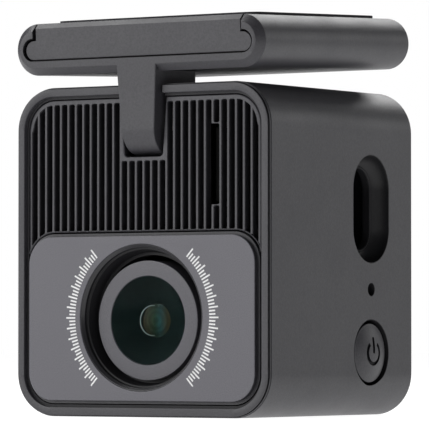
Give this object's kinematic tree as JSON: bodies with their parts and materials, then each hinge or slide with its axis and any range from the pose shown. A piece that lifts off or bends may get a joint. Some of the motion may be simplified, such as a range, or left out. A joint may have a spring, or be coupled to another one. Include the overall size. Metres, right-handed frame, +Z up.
{
  "type": "dash camera",
  "caption": "Cube-shaped windscreen dash camera with a slotted grille, recessed lens, side power socket, and a tilting bracket that slides off an adhesive plate.",
  "frame": {"origin": "bottom centre of the whole object, on the surface it stands on", "axes": "+Z up, -Y the way the lens looks, +X the side with the power socket and the power button"},
  "size_m": [0.0463, 0.0436, 0.062],
  "materials": {
    "casing_plastic": "fine moulded texture, dark graphite grey",
    "grille_plastic": "fine moulded texture, dark graphite grey",
    "plate_satin": "satin painted, slightly lighter grey",
    "ring_satin": "satin anodised grey",
    "inner_black": "matt black",
    "black_cloth": "fine woven acoustic cloth",
    "coated_glass": "polished, green anti-reflection coating",
    "chip_black": "moulded epoxy",
    "circuit_board": "green solder mask",
    "steel": "plated steel",
    "aluminium": "extruded, plain",
    "copper": "flexible copper film",
    "ribbon_film": "amber polyimide film",
    "capacitor_sleeve": "shrunk sleeve",
    "card_plastic": "moulded black",
    "nylon": "natural nylon",
    "clear_plastic": "clear moulded light pipe",
    "rubber": "soft silicone",
    "soft_foam": "soft pad and cone",
    "adhesive_foam": "double-sided acrylic foam tape"
  },
  "bodies": {
    "windscreen_mount": {"slide_plate": "casing_plastic", "adhesive_pad": "adhesive_foam"},
    "bracket": {"mount_bracket": "casing_plastic"},
    "camera": {"main_shell": "casing_plastic", "front_bezel": "casing_plastic", "rear_cover": "casing_plastic", "grille_panel": "grille_plastic", "dust_mesh": "black_cloth", "lens_plate": "plate_satin", "lens_carrier": "inner_black", "lens_well": "inner_black", "lens_ring": "ring_satin", "front_lens": "coated_glass", "lens_barrel": "inner_black", "second_lens": "coated_glass", "aperture_stop": "inner_black", "rear_lens": "coated_glass", "lens_holder": "inner_black", "infrared_filter": "coated_glass", "image_sensor": "chip_black", "sensor_board": "circuit_board", "sensor_screw_left": "steel", "sensor_screw_right": "steel", "sensor_ribbon": "ribbon_film", "main_board": "circuit_board", "card_socket": "steel", "usb_shell": "steel", "usb_tongue": "inner_black", "processor": "chip_black", "thermal_pad": "soft_foam", "heat_spreader": "aluminium", "capacitor_tray": "inner_black", "backup_capacitor_front": "capacitor_sleeve", "backup_capacitor_rear": "capacitor_sleeve", "speaker_frame": "steel", "speaker_cone": "soft_foam", "status_light_pipe": "clear_plastic", "wifi_aerial": "copper", "button_board": "circuit_board", "tact_switch": "inner_black", "microphone": "steel", "microphone_gasket": "rubber", "hinge_cradle": "inner_black", "hinge_pin": "steel", "hinge_washer_left": "nylon", "hinge_washer_right": "nylon", "cradle_screw_left": "steel", "cradle_screw_right": "steel"},
    "button": {"power_button": "casing_plastic", "switch_plunger": "nylon"},
    "card": {"memory_card": "card_plastic"}
  },
  "joints": [
    {"name": "bracket_slide", "type": "slide", "parent": "windscreen_mount", "child": "bracket", "axis": [0, 0.999, 0.0454], "range_m": [0, 0.0405]},
    {"name": "tilt_hinge", "type": "hinge", "parent": "bracket", "child": "camera", "pos_m": [0, -0.01568, 0.0449], "axis": [-1, 0, 0], "range_deg": [-2.6, 87.4]},
    {"name": "button_press", "type": "slide", "parent": "camera", "child": "button", "axis": [-1, 0, 0], "range_m": [0, 0.0006], "stiffness_N_per_m": 800},
    {"name": "card_eject", "type": "slide", "parent": "camera", "child": "card", "axis": [0, -1, 0], "range_m": [0, 0.0045]}
  ]
}
